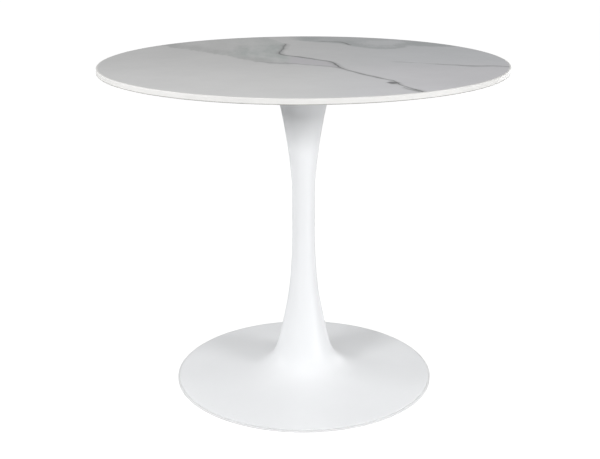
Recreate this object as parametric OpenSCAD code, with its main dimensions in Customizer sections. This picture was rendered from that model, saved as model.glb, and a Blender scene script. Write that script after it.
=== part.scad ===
// Round pedestal table: a sintered-stone disc on a spun-steel trumpet base.
// Millimetres, +Z up. The origin is on the floor, on the column's axis.
// The base dish, the lower column and the upper column are three spun shells that share one
// smooth outline. A full-height tie rod clamps them, with the ballast, between two plates.

/* [Tabletop] */
// Diameter of the stone disc
top_d = 900; // [800:10:1200]
// Thickness of the stone disc
top_t = 12; // [12:1:20]
// Radius of the eased upper edge
top_arris = 2; // [1:0.5:3]
// Radius of the eased lower edge
bottom_arris = 1; // [0.5:0.5:2]

/* [Pedestal] */
// Height of the table from floor to stone face
table_h = 750; // [730:5:760]
// Diameter of the base dish
base_d = 610; // [560:10:700]
// Diameter of the straight waist
waist_d = 53; // [50:1:58]
// Diameter of the column where it meets the mounting plate
head_d = 149; // [140:1:160]
// Sheet thickness of the spun shells
wall = 2; // [1.5:0.5:2.5]

/* [Mounting] */
// Diameter of the plate under the stone
plate_d = 320; // [310:10:400]
// Thickness of that plate
plate_t = 5; // [5:1:8]
// Thickness of the silicone pads between plate and stone
pad_t = 1.5; // [1:0.5:2]
// Number of screws that hold the stone
anchor_count = 8; // [4:1:12]
// Number of screws that hold the plate on the column
head_screw_count = 4; // [3:1:6]

/* [Foot] */
// Height of the plastic ring under the rim
ring_h = 2.5; // [2.5:0.5:4]
// Outer diameter of the ballast weight
ballast_d = 400; // [300:10:420]
// Number of screws that hold the bottom cover
cover_screw_count = 6; // [3:1:8]

/* [Hidden] */

$fn = 96;
hex = 6;

// Levels, from the top down
slab_z = table_h - top_t;
plate_z = slab_z - pad_t - plate_t;
head_z = plate_z;
flange_t = 6;
flange_z = head_z - flange_t;

// Outline of the pedestal. Each curved stretch is a cubic Bezier in (radius, height), and
// neighbouring stretches share their direction where they meet.
rim_z = ring_h + wall;
rim_slope = 3;            // degrees by which the dish rises from its rim
rim_pull = 194;           // how far that rise carries inwards
throat = [57.4, 98];      // where the dish meets the lower column
throat_lean = 0.205;      // radius lost per mm of height there
throat_pull_down = 90;
throat_pull_up = 77;
waist_r = waist_d / 2;
waist_low_z = 377;        // the waist is straight between these two levels
waist_high_z = 463;
waist_pull_down = 156;
waist_pull_up = 23;
head_lean = 0.36;         // radius gained per mm of height at the top
head_pull = 97;
seam_z = (waist_low_z + waist_high_z) / 2;
curve_steps = 26;

dish_curve = [
    [base_d / 2, rim_z],
    [base_d / 2 - rim_pull * cos(rim_slope), rim_z + rim_pull * sin(rim_slope)],
    throat + throat_pull_down * [throat_lean, -1],
    throat
];
lower_curve = [
    throat,
    throat + throat_pull_up * [-throat_lean, 1],
    [waist_r, waist_low_z - waist_pull_down],
    [waist_r, waist_low_z]
];
upper_curve = [
    [waist_r, waist_high_z],
    [waist_r, waist_high_z + waist_pull_up],
    [head_d / 2 - head_pull * head_lean, head_z - head_pull],
    [head_d / 2, head_z]
];

// Screw, nut and bore sizes
close_fit = 0.05;         // radial clearance that stands for a thread's play
m5_r = 2.5;
m6_r = 3;
m8_r = 4;
m12_r = 6;
anchor_r = 5;
anchor_h = 8;
anchor_pcd = plate_d - 40;
head_screw_pcd = head_d - 44;
pad_r = 13;
anchor_washer_r = 6;
anchor_washer_t = 1.6;
rod_hole_r = 6.5;
rod_washer_r = 18.5;
rod_washer_t = 3;
rod_lock_washer_t = 2.5;
rod_nut_flat = 19;
rod_nut_h = 10;

// Cup, ballast and cover
cup_z = 56;
cup_web_t = 4;
cup_wall = 3;
cup_top_z = 116;
pocket_r = 26;
pocket_top_z = 44;
ballast_gap = 1.5;
cover_z = 1;
cover_t = ring_h - cover_z;
cover_r = base_d / 2 - 11;
cover_screw_pcd = 220;
cover_screw_l = 12;
ring_r = base_d / 2 - 1;
ring_in_r = cover_r - 4;
plug_flange_t = 0.6;
plug_h = 9;
rod_bottom_z = pocket_top_z - rod_washer_t - rod_lock_washer_t - rod_nut_h - 4;
rod_top_z = head_z - 2;

// A point on a cubic Bezier, and the unit normal that points out of the metal there
function bezier(c, t) =
    pow(1 - t, 3) * c[0] + 3 * pow(1 - t, 2) * t * c[1] + 3 * (1 - t) * t * t * c[2] + pow(t, 3) * c[3];
function bezier_way(c, t) =
    pow(1 - t, 2) * (c[1] - c[0]) + 2 * (1 - t) * t * (c[2] - c[1]) + t * t * (c[3] - c[2]);
function outward(c, t) = let (way = bezier_way(c, t)) [way[1], -way[0]] / norm(way);
// The curve moved by depth towards the inside of the shell
function inside(c, depth) =
    [for (i = [0 : curve_steps]) let (t = i / curve_steps) bezier(c, t) - depth * outward(c, t)];
function reversed(list) = [for (i = [len(list) - 1 : -1 : 0]) list[i]];

// Everything within the pedestal's outline moved in by depth, between two levels
module core_section(depth, low_z, high_z) {
    intersection() {
        polygon(concat(
            [[0, -rim_z]], [[base_d / 2, -rim_z]],
            inside(dish_curve, depth), inside(lower_curve, depth), inside(upper_curve, depth),
            [[head_d / 2, head_z + wall], [0, head_z + wall]]
        ));
        translate([0, low_z]) square([base_d, high_z - low_z]);
    }
}

module around(count, pcd) {
    for (i = [0 : count - 1]) rotate([0, 0, (i + 0.5) * 360 / count]) translate([pcd / 2, 0, 0]) children();
}

module ring(outer_r, inner_r, h) {
    difference() {
        cylinder(h = h, r = outer_r);
        translate([0, 0, -1]) cylinder(h = h + 2, r = inner_r);
    }
}

// A hexagonal prism, h high, with a chamfer on its lower corners
module hex_body(flat, h) {
    corner_r = flat / 2 / cos(30);
    chamfer = (corner_r - flat / 2) * tan(30);
    intersection() {
        cylinder(h = h, r = corner_r, $fn = hex);
        union() {
            cylinder(h = chamfer, r1 = flat / 2, r2 = corner_r);
            translate([0, 0, chamfer]) cylinder(h = h - chamfer, r = corner_r);
        }
    }
}

module hex_socket(flat, depth) {
    translate([0, 0, -1]) cylinder(h = depth + 1, r = flat / 2 / cos(30), $fn = hex);
}

// Button-head screw, head down: the head's seat is at z = 0 and the shank goes up
module button_screw(shank_r, length, head_r, head_h, flat) {
    dome_r = head_r * 1.15;
    difference() {
        union() {
            cylinder(h = length, r = shank_r);
            translate([0, 0, -head_h]) rotate_extrude() intersection() {
                square([head_r, head_h]);
                translate([0, dome_r]) circle(dome_r);
            }
        }
        translate([0, 0, -head_h]) hex_socket(flat, head_h * 0.6);
    }
}

// Countersunk screw, head down: the head's flat face is at z = 0 and the shank goes up
module countersunk_screw(shank_r, length, head_r, flat) {
    difference() {
        union() {
            cylinder(h = length, r = shank_r);
            cylinder(h = head_r - shank_r, r1 = head_r, r2 = shank_r);
        }
        hex_socket(flat, (head_r - shank_r) * 0.7);
    }
}

// The space that such a screw needs in the pieces it passes through
module countersunk_hole(shank_r, length, head_r) {
    translate([0, 0, -1]) cylinder(h = length + 1, r = shank_r + close_fit);
    translate([0, 0, -1]) cylinder(h = 1, r = head_r + close_fit);
    cylinder(h = head_r - shank_r, r1 = head_r + close_fit, r2 = shank_r + close_fit);
}

module tabletop_slab() {
    r = top_d / 2;
    color("gainsboro") difference() {
        translate([0, 0, slab_z]) rotate_extrude() union() {
            square([r - top_arris, top_t]);
            translate([0, bottom_arris]) square([r, top_t - top_arris - bottom_arris]);
            square([r - bottom_arris, top_t / 2]);
            translate([r - top_arris, top_t - top_arris]) circle(top_arris);
            translate([r - bottom_arris, bottom_arris]) circle(bottom_arris);
        }
        around(anchor_count, anchor_pcd) translate([0, 0, slab_z - 1])
            cylinder(h = anchor_h + 1, r = anchor_r + close_fit);
    }
}

// Epoxy-set inserts with two grooves for the adhesive and a blind M6 thread
module slab_anchors() {
    groove_w = 1.2;
    groove_r = anchor_r - 0.6;
    floor_t = 1;
    color("silver") around(anchor_count, anchor_pcd) translate([0, 0, slab_z]) difference() {
        cylinder(h = anchor_h, r = anchor_r);
        for (z = [2, 4.8]) translate([0, 0, z]) ring(anchor_r + 1, groove_r, groove_w);
        translate([0, 0, -1]) cylinder(h = anchor_h - floor_t + 1, r = m6_r + close_fit);
    }
}

module plate_pads() {
    color("whitesmoke") around(anchor_count, anchor_pcd) translate([0, 0, slab_z - pad_t])
        ring(pad_r, m6_r + 1, pad_t);
}

module mounting_plate() {
    hole_r = m6_r + 0.5;
    edge = 0.8;
    color("whitesmoke") difference() {
        translate([0, 0, plate_z]) union() {
            cylinder(h = edge, r1 = plate_d / 2 - edge, r2 = plate_d / 2);
            translate([0, 0, edge]) cylinder(h = plate_t - edge, r = plate_d / 2);
        }
        around(anchor_count, anchor_pcd) translate([0, 0, plate_z - 1]) cylinder(h = plate_t + 2, r = hole_r);
        around(head_screw_count, head_screw_pcd) translate([0, 0, plate_z + plate_t]) mirror([0, 0, 1])
            countersunk_hole(m8_r, plate_t + 1, m8_r * 2);
    }
}

module anchor_screws() {
    color("silver") around(anchor_count, anchor_pcd) translate([0, 0, plate_z - anchor_washer_t])
        button_screw(m6_r, plate_t + pad_t + anchor_washer_t + 6, 5.25, 3.3, 4);
}

module anchor_washers() {
    color("silver") around(anchor_count, anchor_pcd) translate([0, 0, plate_z - anchor_washer_t])
        ring(anchor_washer_r, m6_r + 0.2, anchor_washer_t);
}

module head_screws() {
    color("silver") around(head_screw_count, head_screw_pcd) translate([0, 0, plate_z + plate_t])
        mirror([0, 0, 1]) countersunk_screw(m8_r, 16, m8_r * 2, 5);
}

module head_flange() {
    color("lightgray") difference() {
        rotate_extrude() core_section(wall, flange_z, head_z);
        translate([0, 0, flange_z - 1]) cylinder(h = flange_t + 2, r = rod_hole_r);
        around(head_screw_count, head_screw_pcd) translate([0, 0, flange_z - 1])
            cylinder(h = flange_t + 2, r = m8_r + close_fit);
    }
}

// One spun shell: the stretch of the outline along a curve, one sheet thick
module upper_column() {
    color("white") rotate_extrude() intersection() {
        polygon(concat(
            [[waist_r, seam_z]], inside(upper_curve, 0),
            reversed(inside(upper_curve, wall)), [[waist_r - wall, seam_z]]
        ));
        square([base_d, head_z]);
    }
}

module waist_sleeve() {
    sleeve_l = 70;
    color("lightgray") translate([0, 0, seam_z - sleeve_l / 2]) ring(waist_r - wall, waist_r - wall - 2.5, sleeve_l);
}

module lower_column() {
    color("white") rotate_extrude() polygon(concat(
        inside(lower_curve, 0), [[waist_r, seam_z], [waist_r - wall, seam_z]],
        reversed(inside(lower_curve, wall))
    ));
}

// Pressed cup in the dish's throat: its web takes the rod's pull and its wall centres the column
module throat_cup() {
    color("lightgray") difference() {
        rotate_extrude() difference() {
            core_section(wall, cup_z, cup_top_z);
            core_section(wall + cup_wall, cup_z + cup_web_t, cup_top_z + 1);
        }
        translate([0, 0, cup_z - 1]) cylinder(h = cup_web_t + 2, r = rod_hole_r);
    }
}

module base_dish() {
    color("white") rotate_extrude() polygon(concat(inside(dish_curve, 0), reversed(inside(dish_curve, wall))));
}

module tie_rod() {
    chamfer = 1.2;
    color("silver") translate([0, 0, rod_bottom_z]) union() {
        cylinder(h = chamfer, r1 = m12_r - chamfer, r2 = m12_r);
        translate([0, 0, chamfer]) cylinder(h = rod_top_z - rod_bottom_z - 2 * chamfer, r = m12_r);
        translate([0, 0, rod_top_z - rod_bottom_z - chamfer])
            cylinder(h = chamfer, r1 = m12_r, r2 = m12_r - chamfer);
    }
}

module m12_nut(z) {
    color("silver") translate([0, 0, z]) difference() {
        hex_body(rod_nut_flat, rod_nut_h);
        translate([0, 0, -1]) cylinder(h = rod_nut_h + 2, r = m12_r + close_fit);
    }
}

module rod_weld_nut() {
    m12_nut(flange_z - rod_nut_h);
}

module rod_washer() {
    color("silver") translate([0, 0, pocket_top_z - rod_washer_t]) ring(rod_washer_r, rod_hole_r, rod_washer_t);
}

// Split spring washer, pressed flat
module rod_lock_washer() {
    split_w = 1.5;
    outer_r = 10.5;
    z = pocket_top_z - rod_washer_t - rod_lock_washer_t;
    color("gray") difference() {
        translate([0, 0, z]) ring(outer_r, m12_r + 0.1, rod_lock_washer_t);
        translate([0, -split_w / 2, z - 1]) cube([outer_r + 1, split_w, rod_lock_washer_t + 2]);
    }
}

module rod_nut() {
    m12_nut(pocket_top_z - rod_washer_t - rod_lock_washer_t - rod_nut_h);
}

// Cast weight that fills the hollow under the dish, with a pocket for the rod's nut
module ballast_weight() {
    color("dimgray") difference() {
        rotate_extrude() intersection() {
            core_section(wall + ballast_gap, ring_h, cup_z);
            square([ballast_d / 2, cup_z]);
        }
        translate([0, 0, ring_h - 1]) cylinder(h = pocket_top_z - ring_h + 1, r = pocket_r);
        translate([0, 0, pocket_top_z - 1]) cylinder(h = cup_z - pocket_top_z + 2, r = rod_hole_r);
        around(cover_screw_count, cover_screw_pcd) translate([0, 0, cover_z])
            countersunk_hole(m5_r, cover_screw_l + 1, m5_r * 2);
    }
}

module base_cover() {
    color("dimgray") difference() {
        translate([0, 0, cover_z]) ring(cover_r, pocket_r, cover_t);
        around(cover_screw_count, cover_screw_pcd) translate([0, 0, cover_z])
            countersunk_hole(m5_r, cover_t + 1, m5_r * 2);
    }
}

module cover_screws() {
    color("silver") around(cover_screw_count, cover_screw_pcd) translate([0, 0, cover_z])
        countersunk_screw(m5_r, cover_screw_l, m5_r * 2, 3);
}

// Hollow snap-in plug that closes the hole under the rod's nut
module access_plug() {
    plug_wall = 1.6;
    bead = 0.5;
    color("black") difference() {
        union() {
            translate([0, 0, cover_z - plug_flange_t]) cylinder(h = plug_flange_t, r = pocket_r + 4);
            translate([0, 0, cover_z]) cylinder(h = plug_h, r = pocket_r - 2 * bead);
            translate([0, 0, cover_z + cover_t + 1.5]) rotate_extrude()
                translate([pocket_r - 2 * bead, 0]) circle(bead, $fn = 24);
        }
        translate([0, 0, cover_z + plug_wall]) cylinder(h = plug_h, r = pocket_r - 2 * bead - plug_wall);
    }
}

// Plastic ring that the table stands on, with a ledge for the cover's edge
module foot_ring() {
    color("lightgray") difference() {
        ring(ring_r, ring_in_r, ring_h);
        translate([0, 0, cover_z]) cylinder(h = ring_h, r = cover_r);
    }
}

tabletop_slab();
slab_anchors();
plate_pads();
mounting_plate();
anchor_screws();
anchor_washers();
head_screws();
head_flange();
upper_column();
waist_sleeve();
lower_column();
throat_cup();
base_dish();
tie_rod();
rod_weld_nut();
rod_washer();
rod_lock_washer();
rod_nut();
ballast_weight();
base_cover();
cover_screws();
access_plug();
foot_ring();
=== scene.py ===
import math

import bmesh
import bpy
from mathutils import Matrix, Vector


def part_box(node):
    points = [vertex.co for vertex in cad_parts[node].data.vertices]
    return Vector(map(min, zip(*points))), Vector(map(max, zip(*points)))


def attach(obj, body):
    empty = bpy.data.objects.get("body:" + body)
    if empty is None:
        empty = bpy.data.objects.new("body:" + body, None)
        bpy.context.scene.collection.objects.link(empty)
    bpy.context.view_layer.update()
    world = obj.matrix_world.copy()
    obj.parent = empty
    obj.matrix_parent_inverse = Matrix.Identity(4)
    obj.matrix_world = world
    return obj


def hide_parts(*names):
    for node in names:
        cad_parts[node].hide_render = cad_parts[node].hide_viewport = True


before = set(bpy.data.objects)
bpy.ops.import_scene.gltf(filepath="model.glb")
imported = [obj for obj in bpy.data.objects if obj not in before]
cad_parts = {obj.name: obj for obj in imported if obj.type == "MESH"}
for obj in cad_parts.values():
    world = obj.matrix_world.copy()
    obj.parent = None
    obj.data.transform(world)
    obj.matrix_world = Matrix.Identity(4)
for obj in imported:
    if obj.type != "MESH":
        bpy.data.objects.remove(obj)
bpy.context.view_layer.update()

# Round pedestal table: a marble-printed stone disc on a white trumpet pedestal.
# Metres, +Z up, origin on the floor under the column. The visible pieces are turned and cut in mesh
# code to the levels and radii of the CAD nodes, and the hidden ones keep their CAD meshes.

MM = 0.001


# ---------------------------------------------------------------- sizes from the frame

class Turned:
    """The radius and the two levels of a CAD node that is round about the Z axis."""

    def __init__(self, node):
        low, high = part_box(node)
        self.radius = high.x
        self.low = low.z
        self.high = high.z


slab = Turned("tabletop_slab")
plate = Turned("mounting_plate")
pads = Turned("plate_pads")
upper = Turned("upper_column")
lower = Turned("lower_column")
dish = Turned("base_dish")
sleeve = Turned("waist_sleeve")
cover = Turned("base_cover")
ring = Turned("foot_ring")
plug = Turned("access_plug")
anchors = Turned("slab_anchors")
stone_screws = Turned("anchor_screws")
washers = Turned("anchor_washers")
bottom_screws = Turned("cover_screws")

WALL = 2 * MM                               # sheet thickness of the pedestal
ANCHOR_COUNT = 8
ANCHOR_CIRCLE = plate.radius - 20 * MM
HEAD_SCREW_COUNT = 4
HEAD_SCREW_CIRCLE = upper.radius - 22 * MM
COVER_SCREW_COUNT = 6
COVER_SCREW_CIRCLE = 110 * MM

# Radii of the shanks, and the radii (shank, head) of the holes that countersunk screws need
M5 = 2.5 * MM
M6 = 3 * MM
M5_SINK = (2.55 * MM, 5.05 * MM)
M8_SINK = (4.05 * MM, 8.05 * MM)
ANCHOR_HOLE = 5.05 * MM
PLUG_HOLE = 26 * MM

LARGE_TURNS = 256                           # segments round the big turned pieces
SMALL_TURNS = 48                            # and round screws and washers
CURVE_STEPS = 40                            # points along each stretch of the pedestal's outline
HEX = 6


# ---------------------------------------------------------------- outlines

def arc(centre, radius, start, end, steps=8):
    """Points of a circular arc in (radius, height), with its angles in degrees."""
    angles = [math.radians(start + (end - start) * i / steps) for i in range(steps + 1)]
    return [(centre[0] + radius * math.cos(a), centre[1] + radius * math.sin(a)) for a in angles]


def rounded_box(inner, outer, low, high, edge, steps=4):
    """A rectangle in (radius, height) with rounded corners."""
    return (
        arc((outer - edge, low + edge), edge, -90, 0, steps)
        + arc((outer - edge, high - edge), edge, 0, 90, steps)
        + arc((inner + edge, high - edge), edge, 90, 180, steps)
        + arc((inner + edge, low + edge), edge, 180, 270, steps)
    )


def spline(controls, steps=CURVE_STEPS):
    """Points of a cubic Bezier in (radius, height), each with the unit normal out of the metal."""
    a, b, c, d = (Vector(p) for p in controls)
    points = []
    for i in range(steps + 1):
        t = i / steps
        s = 1 - t
        point = s**3 * a + 3 * s * s * t * b + 3 * s * t * t * c + t**3 * d
        way = s * s * (b - a) + 2 * s * t * (c - b) + t * t * (d - c)
        points.append((point, Vector((way.y, -way.x)).normalized()))
    return points


def sheet_section(points):
    """The closed section of a sheet whose outer face runs along the spline's points."""
    outside = [tuple(point) for point, normal in points]
    inside = [tuple(point - WALL * normal) for point, normal in points]
    return outside + inside[::-1]


# ---------------------------------------------------------------- solids

def revolve(outline, turns=LARGE_TURNS):
    """A solid made by turning a closed outline of (radius, height) points round the Z axis."""
    solid = bmesh.new()
    rings = []
    for radius, height in outline:
        count = turns if radius > 1e-6 else 1
        angles = [math.tau * k / turns for k in range(count)]
        rings.append([solid.verts.new((radius * math.cos(a), radius * math.sin(a), height)) for a in angles])
    for near, far in zip(rings, rings[1:] + rings[:1]):
        if len(near) == len(far) == 1:
            continue
        for k in range(turns):
            following = (k + 1) % turns
            corners = [near[k % len(near)], near[following % len(near)],
                       far[following % len(far)], far[k % len(far)]]
            solid.faces.new(list(dict.fromkeys(corners)))
    bmesh.ops.recalc_face_normals(solid, faces=solid.faces)
    return solid


def joined(solids):
    """One mesh that holds several separate solids."""
    result = bmesh.new()
    for solid in solids:
        data = bpy.data.meshes.new("part")
        solid.to_mesh(data)
        result.from_mesh(data)
        bpy.data.meshes.remove(data)
    return result


def around(solid, count, radius):
    """Copies of a solid set on a circle, the first one half a step round from +X."""
    copies = []
    for i in range(count):
        copy = solid.copy()
        angle = (i + 0.5) * math.tau / count
        copy.transform(Matrix.Rotation(angle, 4, "Z") @ Matrix.Translation((radius, 0, 0)))
        copies.append(copy)
    return joined(copies)


def combine(solid, tool, operation):
    """A boolean of two solids."""
    holders = []
    for mesh in (solid, tool):
        data = bpy.data.meshes.new("operand")
        mesh.to_mesh(data)
        holder = bpy.data.objects.new("operand", data)
        bpy.context.scene.collection.objects.link(holder)
        holders.append(holder)
    modifier = holders[0].modifiers.new("combine", "BOOLEAN")
    modifier.operation = operation
    modifier.solver = "EXACT"
    modifier.object = holders[1]
    result = bmesh.new()
    result.from_object(holders[0], bpy.context.evaluated_depsgraph_get())
    for holder in holders:
        bpy.data.meshes.remove(holder.data)
    return result


def cut(solid, tool):
    return combine(solid, tool, "DIFFERENCE")


def countersink(radii, seat, length, upwards):
    """The space that a countersunk screw needs, from its flat face at the seat along its shank."""
    radius, head_radius = radii
    way = 1 if upwards else -1
    mouth = seat - way * MM
    neck = seat + way * (head_radius - radius)
    end = seat + way * length
    outline = [(0, mouth), (head_radius, mouth), (head_radius, seat), (radius, neck), (radius, end), (0, end)]
    return revolve(outline, SMALL_TURNS)


def round_bar(radius, low, high, turns=SMALL_TURNS):
    """A plain round bar, to cut a hole with."""
    return revolve([(0, low), (radius, low), (radius, high), (0, high)], turns)


def hex_bar(flat, low, high):
    """A hexagonal bar by its width across flats, to cut a socket with."""
    return round_bar(flat / 2 / math.cos(math.pi / HEX), low, high, HEX)


def make(name, solid, materials, nodes, crease=32):
    """A Blender object from a solid, which stands for CAD nodes."""
    data = bpy.data.meshes.new(name)
    solid.to_mesh(data)
    solid.free()
    for material in materials:
        data.materials.append(material)
    data.shade_smooth()
    data.set_sharp_from_angle(angle=math.radians(crease))
    piece = bpy.data.objects.new(name, data)
    bpy.context.scene.collection.objects.link(piece)
    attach(piece, "root")
    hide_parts(*nodes)
    return piece


# ---------------------------------------------------------------- shader helpers

class Surface:
    """A material with one Principled shader, and short calls for the nodes that feed it."""

    def __init__(self, name, **constants):
        self.material = bpy.data.materials.new(name)
        self.material.use_nodes = True
        self.tree = self.material.node_tree
        self.tree.nodes.clear()
        self.shader = self.add("ShaderNodeBsdfPrincipled")
        output = self.add("ShaderNodeOutputMaterial")
        self.tree.links.new(self.shader.outputs["BSDF"], output.inputs["Surface"])
        self.place = self.add("ShaderNodeTexCoord").outputs["Object"]
        for key, value in constants.items():
            self.shader.inputs[key.replace("_", " ").title().replace("Ior", "IOR")].default_value = value

    def add(self, kind, **settings):
        node = self.tree.nodes.new(kind)
        for name, value in settings.items():
            setattr(node, name, value)
        return node

    def put(self, socket, value):
        """Links a socket to another node's output, or gives it a plain value."""
        if isinstance(value, bpy.types.NodeSocket):
            self.tree.links.new(value, socket)
        else:
            socket.default_value = value

    def set(self, name, value):
        self.put(self.shader.inputs[name], value)

    def math(self, operation, *values, clamp=False):
        node = self.add("ShaderNodeMath", operation=operation, use_clamp=clamp)
        for socket, value in zip(node.inputs, values):
            self.put(socket, value)
        return node.outputs[0]

    def product(self, first, *others):
        for other in others:
            first = self.math("MULTIPLY", first, other)
        return first

    def vector(self, operation, *values):
        node = self.add("ShaderNodeVectorMath", operation=operation)
        for socket, value in zip(node.inputs, values):
            self.put(socket, value)
        return node.outputs["Value" if operation == "LENGTH" else "Vector"]

    def parts(self, at):
        """The X, Y and Z of coordinates."""
        node = self.add("ShaderNodeSeparateXYZ")
        self.put(node.inputs[0], at)
        return tuple(node.outputs)

    def stretched(self, at, turn=0.0, scale=(1, 1, 1)):
        """Coordinates turned about Z by an angle in degrees, then scaled."""
        node = self.add("ShaderNodeMapping")
        node.inputs["Rotation"].default_value = (0, 0, math.radians(turn))
        node.inputs["Scale"].default_value = scale
        self.put(node.inputs["Vector"], at)
        return node.outputs[0]

    def noise(self, size, detail=3, roughness=0.5, at=None, output="Fac"):
        """Noise whose features are about the given size in metres."""
        node = self.add("ShaderNodeTexNoise")
        node.inputs["Scale"].default_value = 1 / size
        node.inputs["Detail"].default_value = detail
        node.inputs["Roughness"].default_value = roughness
        self.put(node.inputs["Vector"], at or self.place)
        return node.outputs[output]

    def remap(self, value, from_low, from_high, to_low=0.0, to_high=1.0, smooth=True):
        node = self.add("ShaderNodeMapRange", interpolation_type="SMOOTHSTEP" if smooth else "LINEAR")
        for name, number in (("From Min", from_low), ("From Max", from_high),
                             ("To Min", to_low), ("To Max", to_high)):
            self.put(node.inputs[name], number)
        self.put(node.inputs["Value"], value)
        return node.outputs[0]

    def blend(self, share, first, second, mode="MIX"):
        """The first colour where the share is 0 and the second where it is 1."""
        node = self.add("ShaderNodeMix", data_type="RGBA", blend_type=mode)
        for socket, value in zip((node.inputs[0], node.inputs[6], node.inputs[7]), (share, first, second)):
            self.put(socket, (*value, 1) if isinstance(value, tuple) else value)
        return node.outputs[2]

    def grey(self, value):
        """A colour with the same value in its three channels."""
        node = self.add("ShaderNodeCombineColor")
        for socket in node.inputs[:3]:
            self.put(socket, value)
        return node.outputs[0]

    def bands(self, direction, period, distortion=0.0):
        """Even sine bands across a direction, one in each period in metres, bent a little if asked."""
        node = self.add("ShaderNodeTexWave", wave_type="BANDS", bands_direction=direction, wave_profile="SIN")
        node.inputs["Scale"].default_value = math.pi / 10 / period
        node.inputs["Distortion"].default_value = distortion
        node.inputs["Detail Scale"].default_value = 30
        self.put(node.inputs["Vector"], self.place)
        return node.outputs["Fac"]

    def bump(self, height, distance, strength=1.0, under=None):
        """A bump of the given depth in metres, which may lie on another bump."""
        node = self.add("ShaderNodeBump")
        node.inputs["Strength"].default_value = strength
        node.inputs["Distance"].default_value = distance
        self.put(node.inputs["Height"], height)
        if under:
            self.put(node.inputs["Normal"], under)
        return node.outputs[0]

    def curve(self, value, points):
        """A smooth curve through (input, output) points, level beyond its ends."""
        node = self.add("ShaderNodeFloatCurve")
        mapping = node.mapping
        mapping.use_clip = False
        mapping.extend = "HORIZONTAL"
        line = mapping.curves[0]
        ordered = sorted(points)
        line.points[0].location = ordered[0]
        line.points[-1].location = ordered[-1]
        for point in ordered[1:-1]:
            line.points.new(*point)
        for point in line.points:
            point.handle_type = "AUTO_CLAMPED"
        mapping.update()
        self.put(node.inputs["Value"], value)
        return node.outputs[0]


# ---------------------------------------------------------------- the marble print

# Each vein runs through (x, y, half width) points in plan, in millimetres: x to the right and y
# to the rear of the table. Along its way it never turns back in x, or never in y.
MAIN_VEIN = [
    (-85, 410, 0), (-55, 325, 0), (-45, 290, 0.8), (-46, 260, 1.5), (-46, 220, 1.5), (-48, 180, 1.8),
    (-56, 140, 2.5), (-52, 112, 3), (-40, 96, 2.5), (-22, 82, 3), (-5, 65, 4), (10, 50, 4), (30, 30, 2.5),
    (50, 10, 3), (62, -10, 3), (68, -35, 3.5), (73, -70, 3.5), (80, -100, 3), (95, -131, 2.5),
    (118, -172, 2.5), (138, -207, 3), (150, -228, 2.5), (162, -243, 2), (172, -253, 2), (180, -268, 2),
    (183, -290, 2.5), (186, -312, 1.8), (192, -326, 1.2), (202, -346, 1.8), (213, -371, 3.5), (220, -390, 2),
]
WISP_VEIN = [
    (-95, -2, 2), (-62, -22, 3.5), (-38, -26, 4.5), (-18, -33, 3), (0, -45, 2.5), (25, -58, 3), (50, -72, 3),
    (80, -100, 2),
]
RIGHT_VEIN = [
    (195, -8, 0.5), (215, -14, 1.5), (255, -30, 0.5), (300, -52, 2.5), (330, -60, 3.5), (365, -75, 4.5),
    (400, -72, 3), (450, -90, 2),
]
REAR_VEIN = [(40, 345, 1.5), (75, 335, 3), (97, 325, 4.5), (108, 300, 4.5), (116, 272, 2)]
# A soft shade along the main vein's rear stretch, a blotch beside that vein, and a faint second
# strand where it nears the edge
SHADE = [(-43, 300, 2), (-46, 265, 6), (-46, 225, 5), (-48, 185, 4), (-56, 140, 4), (-52, 112, 3)]
BLOTCH = [(163, -281, 3), (168, -283, 9), (174, -284, 11), (180, -284, 9), (185, -285, 2)]
STRAND = [(188, -334, 1), (193, -347, 2.5), (199, -359, 3), (207, -372, 3), (212, -385, 2)]
# Where the clouds of colour end, in plan
LEFT_BORDER = [
    (-430, 310), (-340, 260), (-300, 215), (-250, 170), (-205, 115), (-180, 90), (-155, 55), (-130, 15),
    (-100, -8), (-60, -55), (0, -60),
]
REAR_BORDER = [
    (-40, 385), (0, 345), (50, 318), (80, 308), (110, 272), (130, 245), (155, 222), (205, 202), (240, 222),
    (268, 252), (300, 240), (430, 228),
]
PATCH = (0.197, 0.305, 0.75)                # middle of the light patch in the rear cloud, in metres
STREAK = -145 * MM                          # x of the dark streak in the middle of the left cloud

THINNEST = 0.1 * MM                         # a half width that counts as none
END_GAPS = (6 * MM, 12 * MM)                # past its ends, a vein has no width at these places
FAR_OFF = 100                               # half widths: how far off a vein is where it has ended

# Tones of the print
GROUND_PALE = (0.605, 0.605, 0.603)
GROUND_COOL = (0.57, 0.58, 0.595)
GROUND_VIOLET = (0.61, 0.60, 0.62)
HAZE = (0.535, 0.52, 0.55)
LEFT_CLOUD_GREEN = (0.455, 0.485, 0.475)
LEFT_CLOUD_GREY = (0.475, 0.48, 0.475)
REAR_CLOUD_GREY = (0.435, 0.455, 0.46)
VEIN_CORE = (0.09, 0.092, 0.095)
VEIN_STAIN = (0.34, 0.345, 0.345)
WISP = (0.36, 0.355, 0.37)


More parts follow.
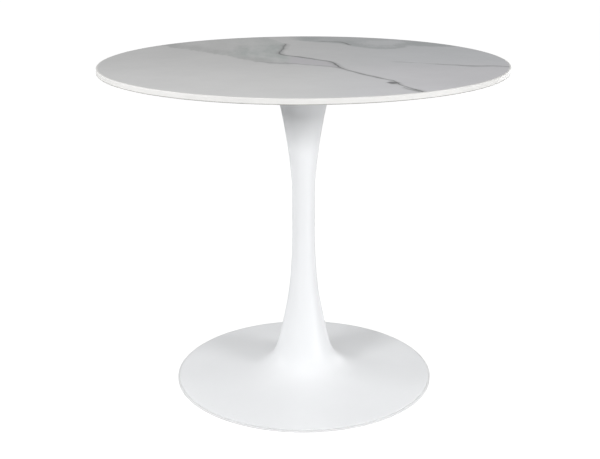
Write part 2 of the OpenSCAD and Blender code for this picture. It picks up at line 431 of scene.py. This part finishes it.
def vein(surface, across, along, points):
    """How far a place is off a vein: in half widths from its middle, and in metres past its edge.

    The course of the vein's middle comes third.
    """
    course = [(a * MM, c * MM) for c, a, width in points]
    half_widths = []
    for i, (c, a, width) in enumerate(points):
        before, after = points[max(i - 1, 0)], points[min(i + 1, len(points) - 1)]
        slope = (after[0] - before[0]) / (after[1] - before[1])
        half_widths.append((a * MM, width * MM * math.hypot(1, slope)))
    first, last = min(half_widths)[0], max(half_widths)[0]
    for gap in END_GAPS:
        half_widths += [(first - gap, 0), (last + gap, 0)]
    middle = surface.curve(along, course)
    off = surface.math("ABSOLUTE", surface.math("SUBTRACT", across, middle))
    uneven = surface.remap(surface.noise(22 * MM, 2), 0.3, 0.7, 0.65, 1.35, smooth=False)
    swell = surface.math("MULTIPLY", surface.curve(along, half_widths), uneven)
    ended = surface.math("MULTIPLY", surface.math("LESS_THAN", swell, THINNEST), FAR_OFF)
    ratio = surface.math("ADD", surface.math("DIVIDE", off, surface.math("MAXIMUM", swell, THINNEST)), ended)
    return ratio, surface.math("SUBTRACT", off, swell), middle


def swapped(points):
    """Vein points whose course is a height y for each x."""
    return [(y, x, width) for x, y, width in points]


def shaken(surface, at, size, depth, detail=3):
    """Coordinates moved about by noise, so that nothing follows a drawn line."""
    push = surface.vector("SUBTRACT", surface.noise(size, detail, 0.55, at, "Color"), (0.5, 0.5, 0.5))
    return surface.vector("ADD", at, surface.vector("MULTIPLY", push, (2 * depth,) * 3))


class Print(Surface):
    """The printed face, with the shaken coordinates and the noises that its parts share."""

    def __init__(self):
        super().__init__("marble_print", ior=1.5, specular_ior_level=0.35)
        self.at = shaken(self, shaken(self, self.place, 70 * MM, 7 * MM), 16 * MM, 1.6 * MM)
        self.x, self.y = self.parts(self.at)[:2]
        # Streaks that the clouds are made of, drawn out along the flow from the rear left
        flow = self.stretched(self.at, turn=58, scale=(1, 0.28, 1))
        self.streaks = self.noise(36 * MM, 5, 0.6, flow)
        self.brushed = self.noise(20 * MM, 5, 0.65, flow)
        self.smoke = self.noise(120 * MM, 4, 0.55, self.at)

    def above(self, border):
        """How far a place lies to the rear of a border."""
        return self.math("SUBTRACT", self.y, self.curve(self.x, [(a * MM, b * MM) for a, b in border]))

    def ragged(self, noise, low, high, reach):
        """A push of up to the reach either way, by a noise between low and high."""
        return self.remap(noise, low, high, -reach, reach, smooth=False)


def left_cloud(s, beside):
    """Left cloud: dark along its border, along the main vein and in a streak between them."""
    above = s.above(LEFT_BORDER)
    border = s.remap(s.math("ADD", above, s.ragged(s.brushed, 0.3, 0.7, 12 * MM)), -6 * MM, 22 * MM)
    border_band = s.remap(above, 40 * MM, 120 * MM, 1, 0.35)
    fading = s.remap(s.y, 320 * MM, 240 * MM, 0.55, 1)
    vein_band = s.product(s.remap(beside, 40 * MM, 115 * MM, 0.95, 0), fading)
    off_streak = s.math("ABSOLUTE", s.math("SUBTRACT", s.x, STREAK))
    streak_band = s.product(s.remap(off_streak, 5 * MM, 40 * MM, 0.9, 0), s.remap(s.y, 340 * MM, 220 * MM))
    depth = s.math("MAXIMUM", s.math("MAXIMUM", border_band, vein_band), streak_band)
    cloud = s.product(
        depth, border,
        s.remap(beside, -1 * MM, 3 * MM), s.remap(s.x, -45 * MM, -20 * MM, 1, 0.08),
        s.remap(s.streaks, 0.32, 0.62, 0.6, 1.05), s.remap(s.brushed, 0.35, 0.65, 0.8, 1.15),
    )
    return s.math("MULTIPLY", cloud, s.remap(s.y, -60 * MM, 30 * MM, 0.6, 1), clamp=True)


def rear_cloud(s):
    """Rear cloud: dark along its border, with a light patch in its middle and thinner at the rim."""
    beyond = s.above(REAR_BORDER)
    torn = s.math("ADD", s.ragged(s.smoke, 0.35, 0.65, 10 * MM), s.ragged(s.brushed, 0.3, 0.7, 9 * MM))
    edge = s.remap(s.math("ADD", beyond, torn), -12 * MM, 18 * MM)
    frayed = s.math("ADD", s.ragged(s.smoke, 0.35, 0.65, -26 * MM), s.ragged(s.brushed, 0.3, 0.7, 18 * MM))
    off_patch = s.math("ADD", s.vector("LENGTH", s.vector("SUBTRACT", s.at, PATCH)), frayed)
    return s.product(
        edge, s.remap(s.x, -45 * MM, 15 * MM), s.remap(off_patch, 14 * MM, 64 * MM, 0.1, 1),
        s.remap(beyond, 60 * MM, 130 * MM, 1, 0.6), s.remap(s.smoke, 0.35, 0.6, 0.6, 1.0),
    )


def marble_ground(s, beside, wisp_above):
    """White-grey ground: cooler to the right, with a breath of violet, a haze between the veins, and painted
    light that makes it whiter towards the front left.
    """
    ground = s.blend(s.remap(s.x, -100 * MM, 300 * MM), GROUND_PALE, GROUND_COOL)
    violet = s.product(s.remap(s.y, 60 * MM, -160 * MM), s.remap(s.x, 0, 250 * MM, 0, 0.7))
    ground = s.blend(violet, ground, GROUND_VIOLET)
    # Painted light: the ground is made up to 7.5% whiter towards the front left, in place of stronger light
    # falling there
    painted_front_light = s.product(s.remap(s.y, 50 * MM, -250 * MM), s.remap(s.x, 330 * MM, 100 * MM, 0, 0.075))
    mottle = s.remap(s.noise(90 * MM, 5, 0.6, s.at), 0.3, 0.7, 1.005, 1.055, smooth=False)
    ground = s.blend(1.0, ground, s.grey(s.math("ADD", mottle, painted_front_light)), "MULTIPLY")
    haze = s.product(s.remap(beside, 0, 8 * MM), s.remap(wisp_above, -2 * MM, 8 * MM),
                     s.remap(s.x, -45 * MM, -20 * MM, 0, 0.75))
    return s.blend(haze, ground, HAZE)


def marble_print():
    """Pale grey marble print: one dark vein, thin side veins and two clouds of green-grey."""
    s = Print()
    main = vein(s, s.x, s.y, MAIN_VEIN)
    wisp = vein(s, s.y, s.x, swapped(WISP_VEIN))
    # How far a place lies to the left of the main vein, and to the rear of the wisp
    beside = s.math("SUBTRACT", main[2], s.x)
    wisp_above = s.math("SUBTRACT", s.y, wisp[2])

    colour = marble_ground(s, beside, wisp_above)
    cloud_tone = s.blend(s.remap(beside, 60 * MM, 160 * MM), LEFT_CLOUD_GREEN, LEFT_CLOUD_GREY)
    colour = s.blend(left_cloud(s, beside), colour, cloud_tone)
    colour = s.blend(rear_cloud(s), colour, REAR_CLOUD_GREY)

    # Veins: a dark core inside a soft, wider stain, each with its strength
    strengths = (
        (main, 0.8, 0.4),
        (vein(s, s.y, s.x, swapped(RIGHT_VEIN)), 0.55, 0.35),
        (vein(s, s.y, s.x, swapped(REAR_VEIN)), 0.7, 0.4),
        (vein(s, s.y, s.x, swapped(BLOTCH)), 0.8, 0.4),
        (vein(s, s.x, s.y, STRAND), 0.35, 0.3),
        (vein(s, s.x, s.y, SHADE), 0.25, 0.3),
    )
    for (ratio, past, _), core, stain in strengths:
        soft = s.product(s.remap(ratio, 1.0, 5.0, stain, 0), s.remap(past, 3 * MM, 12 * MM, 1, 0))
        colour = s.blend(soft, colour, VEIN_STAIN)
        colour = s.blend(s.remap(ratio, 0.3, 1.2, core, 0), colour, VEIN_CORE)
    colour = s.blend(s.remap(wisp[0], 0.2, 3.0, 0.75, 0), colour, WISP)
    s.set("Base Color", colour)

    s.set("Roughness", s.remap(s.noise(25 * MM, 4, 0.6), 0.25, 0.75, 0.40, 0.50, smooth=False))
    s.set("Normal", s.bump(s.noise(2.5 * MM, 3, 0.6), 0.02 * MM, 0.5))
    return s.material


def stone_body():
    """White sintered stone, sawn and polished at the edge, with a faint mesh pressed in its back."""
    s = Surface("stone_body", ior=1.5, specular_ior_level=0.4)
    speckle = s.noise(0.7 * MM, 2, 0.7)
    cast = s.noise(45 * MM, 3)
    colour = s.blend(s.remap(cast, 0.3, 0.7), (0.705, 0.70, 0.687), (0.735, 0.73, 0.717))
    colour = s.blend(s.remap(speckle, 0.62, 0.78, 0, 0.3), colour, (0.55, 0.54, 0.52))
    s.set("Base Color", colour)
    s.set("Roughness", s.remap(s.noise(6 * MM, 3), 0.3, 0.7, 0.42, 0.58, smooth=False))
    s.set("Normal", s.bump(s.noise(1.2 * MM, 3, 0.6), 0.04 * MM, 0.6))
    return s.material


def stone_back():
    """The back of the stone: grey resin over a woven glass mesh, a little uneven."""
    s = Surface("stone_back", ior=1.5, specular_ior_level=0.3)
    colour = s.blend(s.remap(s.noise(70 * MM, 4, 0.6), 0.3, 0.7), (0.36, 0.355, 0.34), (0.43, 0.425, 0.41))
    weave = [s.remap(s.bands(direction, 4 * MM, 0.4), 0.7, 1.0) for direction in ("X", "Y")]
    mesh = s.math("MAXIMUM", *weave)
    worn = s.remap(s.noise(90 * MM, 3), 0.35, 0.65, 0.25, 0.8)
    colour = s.blend(s.product(mesh, worn, 0.35), colour, (0.60, 0.59, 0.57))
    s.set("Base Color", colour)
    s.set("Roughness", s.remap(s.noise(9 * MM, 3), 0.3, 0.7, 0.45, 0.65, smooth=False))
    s.set("Normal", s.bump(mesh, 0.12 * MM, 0.5, s.bump(s.noise(3 * MM, 3), 0.08 * MM, 0.5)))
    return s.material


# ---------------------------------------------------------------- other materials

def powder_white():
    """White powder coat: fine orange peel, and faint scuffs low on the rim where shoes reach it."""
    s = Surface("powder_white", ior=1.5)
    tone = s.noise(140 * MM, 3)
    colour = s.blend(s.remap(tone, 0.3, 0.7), (0.842, 0.853, 0.867), (0.857, 0.868, 0.882))
    height = s.parts(s.place)[2]
    near_floor = s.remap(height, 4 * MM, 12 * MM, 1, 0)
    scuffs = s.remap(s.noise(14 * MM, 5, 0.7, s.stretched(s.place, 25, (1, 4, 1))), 0.60, 0.72)
    colour = s.blend(s.product(near_floor, scuffs, 0.25), colour, (0.55, 0.545, 0.54))
    s.set("Base Color", colour)
    s.set("Roughness", s.remap(s.noise(30 * MM, 4), 0.3, 0.7, 0.36, 0.46, smooth=False))
    peel = s.bump(s.noise(1.6 * MM, 2, 0.5), 0.05 * MM, 0.5)
    s.set("Normal", s.bump(s.noise(0.5 * MM, 2), 0.015 * MM, 0.4, peel))
    return s.material


def plated(name, pale, dark, low_roughness, high_roughness, thread=0.0):
    """Plated or bare metal, cloudy in tone, with turning marks, and with ridges if a thread is given."""
    s = Surface(name, metallic=1.0)
    s.set("Base Color", s.blend(s.remap(s.noise(5 * MM, 4, 0.65), 0.3, 0.7), pale, dark))
    s.set("Roughness", s.remap(s.noise(2.5 * MM, 3), 0.3, 0.7, low_roughness, high_roughness, smooth=False))
    marks = s.bump(s.noise(0.3 * MM, 2, 0.6, s.stretched(s.place, 0, (0.3, 0.3, 2))), 0.02 * MM, 0.5)
    if thread:
        marks = s.bump(s.bands("Z", thread), 0.6 * MM, 0.9, marks)
    s.set("Normal", marks)
    return s.material


def mill_steel():
    """Bare rolled steel with a grey scale bloom and a few rust-brown freckles."""
    s = Surface("mill_steel", metallic=1.0)
    colour = s.blend(s.remap(s.noise(30 * MM, 5, 0.6), 0.35, 0.65), (0.40, 0.40, 0.41), (0.24, 0.245, 0.26))
    colour = s.blend(s.remap(s.noise(4 * MM, 4, 0.7), 0.66, 0.74, 0, 0.5), colour, (0.20, 0.11, 0.06))
    s.set("Base Color", colour)
    s.set("Roughness", s.remap(s.noise(12 * MM, 4), 0.3, 0.7, 0.38, 0.62, smooth=False))
    s.set("Normal", s.bump(s.noise(0.8 * MM, 4, 0.65), 0.05 * MM, 0.6))
    return s.material


def cast_iron():
    """Painted sand casting: dark grey, pitted and rough."""
    s = Surface("cast_iron", metallic=0.25)
    s.set("Base Color", s.blend(s.remap(s.noise(20 * MM, 5, 0.6), 0.35, 0.65),
                                (0.085, 0.087, 0.09), (0.05, 0.052, 0.055)))
    s.set("Roughness", s.remap(s.noise(3 * MM, 3), 0.3, 0.7, 0.6, 0.8, smooth=False))
    sand = s.bump(s.noise(1.6 * MM, 4, 0.7), 0.35 * MM, 0.8)
    s.set("Normal", s.bump(s.noise(18 * MM, 3), 0.6 * MM, 0.5, sand))
    return s.material


def textured_coat(name, pale, dark, grain, depth, low_roughness, high_roughness):
    """A moulded or coated surface with a fine even texture."""
    s = Surface(name)
    s.set("Base Color", s.blend(s.remap(s.noise(18 * MM, 4, 0.6), 0.3, 0.7), pale, dark))
    s.set("Roughness", s.remap(s.noise(7 * MM, 3), 0.3, 0.7, low_roughness, high_roughness, smooth=False))
    s.set("Normal", s.bump(s.noise(grain, 2, 0.6), depth, 0.7))
    return s.material


def clear_silicone():
    """Milky soft silicone."""
    s = Surface("clear_silicone", subsurface_weight=0.3, subsurface_scale=3 * MM, ior=1.41)
    cloudy = s.remap(s.noise(5 * MM, 3), 0.3, 0.7)
    s.set("Base Color", s.blend(cloudy, (0.74, 0.76, 0.77), (0.80, 0.81, 0.81)))
    s.set("Roughness", s.remap(s.noise(2 * MM, 3), 0.3, 0.7, 0.28, 0.42, smooth=False))
    s.set("Normal", s.bump(s.noise(0.6 * MM, 2), 0.02 * MM, 0.5))
    return s.material


print_face = marble_print()
body_stone = stone_body()
# The back's material also serves as a painted shade line low on the slab's edge
back_and_shade_stone = stone_back()
white = powder_white()
ZINC_LOOK = ((0.72, 0.74, 0.77), (0.60, 0.62, 0.66), 0.24, 0.38)
M12_PITCH = 1.75 * MM
zinc = plated("bright_zinc", *ZINC_LOOK)
zinc_thread = plated("zinc_thread", *ZINC_LOOK, thread=M12_PITCH)
spring = plated("spring_steel", (0.34, 0.34, 0.36), (0.22, 0.22, 0.24), 0.30, 0.45)
steel = mill_steel()
iron = cast_iron()
black_steel = textured_coat("black_steel", (0.030, 0.030, 0.032), (0.022, 0.022, 0.024),
                            0.9 * MM, 0.06 * MM, 0.42, 0.55)
grey_plastic = textured_coat("grey_plastic", (0.83, 0.835, 0.84), (0.79, 0.795, 0.80),
                             0.5 * MM, 0.03 * MM, 0.45, 0.60)
black_plastic = textured_coat("black_plastic", (0.026, 0.026, 0.027), (0.018, 0.018, 0.019),
                              0.4 * MM, 0.03 * MM, 0.38, 0.52)
silicone = clear_silicone()


# ---------------------------------------------------------------- tabletop

def tabletop():
    """The stone disc: eased edges, printed face, a painted shade line along the foot of its edge, and eight
    blind holes in its back.
    """
    top_edge = 2 * MM
    low_edge = 1 * MM
    print_r = slab.radius - 4 * MM
    inset = slab.radius - top_edge
    # The dark back material runs 1.7 mm up the edge, over the lower arris, as a painted shade line there
    shade_line_top = slab.low + 1.7 * MM
    face_rings = [print_r * share for share in (1, 0.85, 0.6, 0.3)]
    back = slab.radius - low_edge
    outline = [(0, slab.low)] + [(back * share, slab.low) for share in (0.3, 0.6, 0.85)]
    outline += arc((back, slab.low + low_edge), low_edge, -90, 0, 5)
    outline += [(slab.radius, shade_line_top)]
    outline += arc((inset, slab.high - top_edge), top_edge, 0, 90, 8)
    outline += [(radius, slab.high) for radius in face_rings] + [(0, slab.high)]
    solid = revolve(outline)
    depth = anchors.high - anchors.low
    hole = round_bar(ANCHOR_HOLE, slab.low - depth, slab.low + depth)
    solid = cut(solid, around(hole, ANCHOR_COUNT, ANCHOR_CIRCLE))
    solid.normal_update()
    for face in solid.faces:
        middle = face.calc_center_median()
        if middle.z > slab.high - 0.01 * MM and middle.xy.length < print_r:
            face.material_index = 1
        # Faces low on the edge take the dark back material too: painted shade, besides the real underside
        elif middle.z < shade_line_top:
            face.material_index = 2
    make("tabletop", solid, [body_stone, print_face, back_and_shade_stone], ["tabletop_slab"])


# ---------------------------------------------------------------- pedestal

# The three curved stretches of its outline, by the same slopes and pulls as in the CAD model
RIM_SLOPE = math.radians(3)
SLEEVE_OVERLAP = 8 * MM                     # the waist is straight a little past its inner sleeve
waist_r = sleeve.radius + WALL
waist_low = sleeve.low - SLEEVE_OVERLAP
waist_high = sleeve.high + SLEEVE_OVERLAP
seam = (waist_low + waist_high) / 2
rim = Vector((dish.radius - WALL * math.sin(RIM_SLOPE), dish.low + WALL * math.cos(RIM_SLOPE)))
rim_pull = 194 * MM * Vector((-math.cos(RIM_SLOPE), math.sin(RIM_SLOPE)))
throat = Vector((lower.radius, dish.high))
throat_way = Vector((-0.205, 1))
head = Vector((upper.radius, upper.high))
head_way = Vector((0.36, 1))

DISH_CURVE = [rim, rim + rim_pull, throat - 90 * MM * throat_way, throat]
LOWER_CURVE = [throat, throat + 77 * MM * throat_way, (waist_r, waist_low - 156 * MM), (waist_r, waist_low)]
UPPER_CURVE = [(waist_r, waist_high), (waist_r, waist_high + 23 * MM), head - 97 * MM * head_way, head]
OUTWARD = Vector((1, 0))


def base_dish():
    """The spun dish, with its rim rounded over the full thickness of the sheet."""
    points = spline(DISH_CURVE, 2 * CURVE_STEPS)
    inset = WALL / 2
    while points[0][0].x > rim.x - inset:
        points.pop(0)
    (edge_x, edge_z), normal = points[0]
    turn = math.degrees(math.atan2(normal.y, normal.x))
    centre = Vector((edge_x, edge_z)) - WALL / 2 * normal
    lip = arc(centre, WALL / 2, turn - 180, turn, 10)[1:-1]
    make("base_dish_skin", revolve(lip + sheet_section(points)), [white], ["base_dish"])


def column_halves():
    """The two halves of the column, which meet unseen at the middle of the waist."""
    joint = (Vector((waist_r, seam)), OUTWARD)
    lower_half = sheet_section(spline(LOWER_CURVE) + [joint])
    upper_half = sheet_section([joint] + spline(UPPER_CURVE))
    top = upper.high
    upper_half = [(radius, min(height, top)) for radius, height in upper_half]
    make("column_lower", revolve(lower_half), [white], ["lower_column"])
    make("column_upper", revolve(upper_half), [white], ["upper_column"])


# ---------------------------------------------------------------- plate and its screws

def mounting_plate():
    """The steel plate under the stone, chamfered below, with plain and countersunk holes."""
    chamfer = 0.8 * MM
    edge = 0.3 * MM
    outline = [
        (0, plate.low), (plate.radius - chamfer, plate.low), (plate.radius, plate.low + chamfer),
        *arc((plate.radius - edge, plate.high - edge), edge, 0, 90, 4), (0, plate.high),
    ]
    hole = round_bar(M6 + 0.5 * MM, plate.low - MM, plate.high + MM)
    solid = cut(revolve(outline), around(hole, ANCHOR_COUNT, ANCHOR_CIRCLE))
    sink = countersink(M8_SINK, plate.high, plate.high - plate.low + MM, upwards=False)
    solid = cut(solid, around(sink, HEAD_SCREW_COUNT, HEAD_SCREW_CIRCLE))
    make("mounting_plate_disc", solid, [white], ["mounting_plate"])


def plate_pads():
    """Silicone rings between plate and stone, one round each anchor screw."""
    hole_r, outer_r = 4 * MM, 13 * MM
    pad = revolve(rounded_box(hole_r, outer_r, pads.low, pads.high, 0.25 * MM), SMALL_TURNS)
    ring_of_pads = around(pad, ANCHOR_COUNT, ANCHOR_CIRCLE)
    make("silicone_pads", ring_of_pads, [silicone], ["plate_pads"])


def anchor_screws():
    """Button-head screws with hex sockets, heads down, and the washers under them."""
    seat = washers.low
    head_low = stone_screws.low
    head_r = 5.25 * MM
    head_h = seat - head_low
    dome = 1.15 * head_r
    rim_angle = math.degrees(math.acos(head_r / dome))
    tip = 0.5 * MM
    outline = arc((0, head_low + dome), dome, -90, -rim_angle, 10) + [
        (head_r, seat), (M6, seat), (M6, stone_screws.high - tip),
        (M6 - tip, stone_screws.high), (0, stone_screws.high),
    ]
    socket = hex_bar(4 * MM, head_low - MM, head_low + 0.6 * head_h)
    screw = cut(revolve(outline, SMALL_TURNS), socket)
    screws = around(screw, ANCHOR_COUNT, ANCHOR_CIRCLE)
    make("stone_screws", screws, [zinc], ["anchor_screws"])
    washer_hole, washer_r = 3.2 * MM, 6 * MM
    washer = revolve(rounded_box(washer_hole, washer_r, washers.low, washers.high, 0.2 * MM), SMALL_TURNS)
    ring_of_washers = around(washer, ANCHOR_COUNT, ANCHOR_CIRCLE)
    make("stone_washers", ring_of_washers, [zinc], ["anchor_washers"])


# ---------------------------------------------------------------- underside

def base_cover():
    """The disc that closes the dish from below, countersunk for its screws."""
    section = rounded_box(PLUG_HOLE, cover.radius, cover.low, cover.high, 0.3 * MM)
    sink = countersink(M5_SINK, cover.low, cover.high - cover.low + 2 * MM, upwards=True)
    solid = cut(revolve(section), around(sink, COVER_SCREW_COUNT, COVER_SCREW_CIRCLE))
    make("bottom_cover", solid, [black_steel], ["base_cover"])


def cover_screws():
    """Countersunk screws with hex sockets, heads down."""
    head_r = 5 * MM
    tip = 0.4 * MM
    low, high = bottom_screws.low, bottom_screws.high
    neck = low + head_r - M5
    outline = [(0, low), (head_r, low), (M5, neck), (M5, high - tip), (M5 - tip, high), (0, high)]
    socket = hex_bar(3 * MM, low - MM, low + 0.7 * (head_r - M5))
    screw = cut(revolve(outline, SMALL_TURNS), socket)
    screws = around(screw, COVER_SCREW_COUNT, COVER_SCREW_CIRCLE)
    make("bottom_screws", screws, [zinc], ["cover_screws"])


def access_plug():
    """Snap-in plug: a thin flange, a hollow body and a bead that catches behind the cover."""
    wall = 1.6 * MM
    edge = 0.25 * MM
    bead = 0.5 * MM
    flange_top = cover.low
    body_r = plug.radius - 5 * MM
    bead_z = cover.high + 1.5 * MM
    outline = [(0, plug.low)]
    outline += arc((plug.radius - edge, plug.low + edge), edge, -90, 0, 4)
    outline += [(plug.radius, flange_top), (body_r, flange_top)]
    outline += arc((body_r, bead_z), bead, -90, 90, 8)
    outline += [(body_r, plug.high), (body_r - wall, plug.high), (body_r - wall, flange_top + wall),
                (0, flange_top + wall)]
    make("snap_plug", revolve(outline, 2 * SMALL_TURNS), [black_plastic], ["access_plug"])


def foot_ring():
    """The plastic ring that the table stands on, with a ledge for the cover's edge."""
    edge = 0.4 * MM
    inner = cover.radius - 4 * MM
    outline = arc((ring.radius - edge, ring.low + edge), edge, -90, 0, 5)
    outline += arc((ring.radius - edge, ring.high - edge), edge, 0, 90, 5)
    outline += [(cover.radius, ring.high), (cover.radius, cover.low), (inner, cover.low)]
    outline += arc((inner + edge, ring.low + edge), edge, 180, 270, 5)
    make("foot_ring_band", revolve(outline), [grey_plastic], ["foot_ring"])


tabletop()
base_dish()
column_halves()
mounting_plate()
plate_pads()
anchor_screws()
base_cover()
cover_screws()
access_plug()
foot_ring()


# ---------------------------------------------------------------- hidden nodes

# These keep their CAD meshes, and each gets a material
CARRIED = {
    "slab_anchors": zinc, "head_screws": zinc, "head_flange": steel, "waist_sleeve": steel,
    "throat_cup": steel, "tie_rod": zinc_thread, "rod_weld_nut": zinc, "rod_washer": zinc,
    "rod_lock_washer": spring, "rod_nut": zinc, "ballast_weight": iron,
}
for node, material in CARRIED.items():
    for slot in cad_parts[node].material_slots:
        slot.material = material


# ---------------------------------------------------------------- floor, light and camera

FLOOR_GLOW = 0.93                           # what the camera sees of the floor, before the lights
FLOOR_SHADING = 0.25                        # how strongly the lights show on it
FLOOR_ALBEDO = 0.55                         # what the table sees of it
SURROUNDINGS = (("Z", 0.39), ("X", -0.21), ("Y", 0.30))     # strength of their light from each way
# Name, azimuth in degrees, distance and height, width and height of the lamp, power in watts, the
# level that it looks at, and whether it shows in the table's gloss
LIGHTS = (
    ("key_right", 50, 2.8, 1.55, (0.9, 0.45), 34, 0.5, False),
    ("key_left", -40, 2.8, 1.55, (0.9, 0.45), 44.5, 0.5, False),
    ("front_top", -12, 1.5, 1.9, (0.8, 0.6), 4, 0.3, False),
    ("fill_low", 60, 2.6, 0.45, (0.8, 0.6), 14.3, 0.4, True),
    ("side_left", -95, 2.6, 1.5, (0.9, 0.9), 15, 0.5, True),
    ("side_right", 95, 2.6, 1.5, (0.9, 0.9), 7.2, 0.5, True),
    ("rear_left", -140, 2.6, 0.6, (1.2, 0.5), 2, 0.35, True),
    ("rear_right", 140, 2.6, 0.6, (1.2, 0.5), 9, 0.35, True),
)
LENS = 60.94                                # in millimetres, and so is the sensor's width
SENSOR = 36
EYE = (-8.5 * MM, -2.247, 1.08)
TILT = 72.25                                # degrees up from straight down
ROLL = -0.2


def floor():
    """A wide pale floor, which looks white and throws a softer light back at the table."""
    radius = 60
    level = -0.1 * MM
    disc = bmesh.new()
    bmesh.ops.create_circle(disc, cap_ends=True, segments=64, radius=radius)
    disc.transform(Matrix.Translation((0, 0, level)))
    data = bpy.data.meshes.new("floor")
    disc.to_mesh(data)
    data.materials.append(pale_floor())
    plane = bpy.data.objects.new("floor", data)
    bpy.context.scene.collection.objects.link(plane)


def pale_floor():
    material = bpy.data.materials.new("pale_floor")
    material.use_nodes = True
    tree = material.node_tree
    tree.nodes.clear()
    output = tree.nodes.new("ShaderNodeOutputMaterial")
    matt = tree.nodes.new("ShaderNodeBsdfDiffuse")
    matt.inputs["Color"].default_value = (FLOOR_ALBEDO, FLOOR_ALBEDO, FLOOR_ALBEDO, 1)
    seen = tree.nodes.new("ShaderNodeBsdfDiffuse")
    seen.inputs["Color"].default_value = (FLOOR_SHADING, FLOOR_SHADING, FLOOR_SHADING, 1)
    glow = tree.nodes.new("ShaderNodeEmission")
    glow.inputs["Strength"].default_value = FLOOR_GLOW
    both = tree.nodes.new("ShaderNodeAddShader")
    tree.links.new(seen.outputs[0], both.inputs[0])
    tree.links.new(glow.outputs[0], both.inputs[1])
    choice = tree.nodes.new("ShaderNodeMixShader")
    path = tree.nodes.new("ShaderNodeLightPath")
    tree.links.new(path.outputs["Is Camera Ray"], choice.inputs[0])
    tree.links.new(matt.outputs[0], choice.inputs[1])
    tree.links.new(both.outputs[0], choice.inputs[2])
    tree.links.new(choice.outputs[0], output.inputs["Surface"])
    return material


def softbox(name, azimuth, distance, height, size, power, level, mirrored):
    """A rectangular light that looks at the column. Azimuth 0 is in front and 90 on the right."""
    data = bpy.data.lights.new(name, "AREA")
    data.shape = "RECTANGLE"
    data.size, data.size_y = size
    data.energy = power
    lamp = bpy.data.objects.new(name, data)
    angle = math.radians(azimuth)
    lamp.location = (distance * math.sin(angle), -distance * math.cos(angle), height)
    way = Vector((0, 0, level)) - lamp.location
    lamp.rotation_euler = way.to_track_quat("-Z", "Y").to_euler()
    lamp.visible_camera = False
    lamp.visible_glossy = mirrored
    bpy.context.scene.collection.objects.link(lamp)


def studio():
    """White surroundings, which light the table softly from the rear, the sides and overhead."""
    world = bpy.data.worlds.new("studio")
    bpy.context.scene.world = world
    world.use_nodes = True
    tree = world.node_tree
    tree.nodes.clear()
    output = tree.nodes.new("ShaderNodeOutputWorld")
    background = tree.nodes.new("ShaderNodeBackground")
    backdrop = tree.nodes.new("ShaderNodeBackground")
    choice = tree.nodes.new("ShaderNodeMixShader")
    path = tree.nodes.new("ShaderNodeLightPath")
    direction = tree.nodes.new("ShaderNodeTexCoord")
    apart = tree.nodes.new("ShaderNodeSeparateXYZ")
    tree.links.new(direction.outputs["Generated"], apart.inputs[0])
    total = None
    for axis, strength in SURROUNDINGS:
        part = tree.nodes.new("ShaderNodeMath")
        part.operation = "MULTIPLY"
        part.use_clamp = True
        part.inputs[1].default_value = strength
        tree.links.new(apart.outputs[axis], part.inputs[0])
        if total is None:
            total = part.outputs[0]
            continue
        sum_node = tree.nodes.new("ShaderNodeMath")
        tree.links.new(total, sum_node.inputs[0])
        tree.links.new(part.outputs[0], sum_node.inputs[1])
        total = sum_node.outputs[0]
    background.inputs["Color"].default_value = (1, 1, 1, 1)
    backdrop.inputs["Color"].default_value = (1, 1, 1, 1)
    tree.links.new(total, background.inputs["Strength"])
    tree.links.new(path.outputs["Is Camera Ray"], choice.inputs[0])
    tree.links.new(background.outputs[0], choice.inputs[1])
    tree.links.new(backdrop.outputs[0], choice.inputs[2])
    tree.links.new(choice.outputs[0], output.inputs["Surface"])


def camera():
    """The photograph's angle: a little above the table's edge, and rolled by a trace."""
    data = bpy.data.cameras.new("camera")
    data.sensor_width = SENSOR
    data.lens = LENS
    eye = bpy.data.objects.new("camera", data)
    eye.location = EYE
    tilt = Matrix.Rotation(math.radians(TILT), 3, "X")
    roll = Matrix.Rotation(math.radians(ROLL), 3, "Z")
    eye.rotation_euler = (tilt @ roll).to_euler()
    bpy.context.scene.collection.objects.link(eye)
    bpy.context.scene.camera = eye


floor()
studio()
for light in LIGHTS:
    softbox(*light)
camera()
bpy.context.scene.view_settings.view_transform = "Standard"
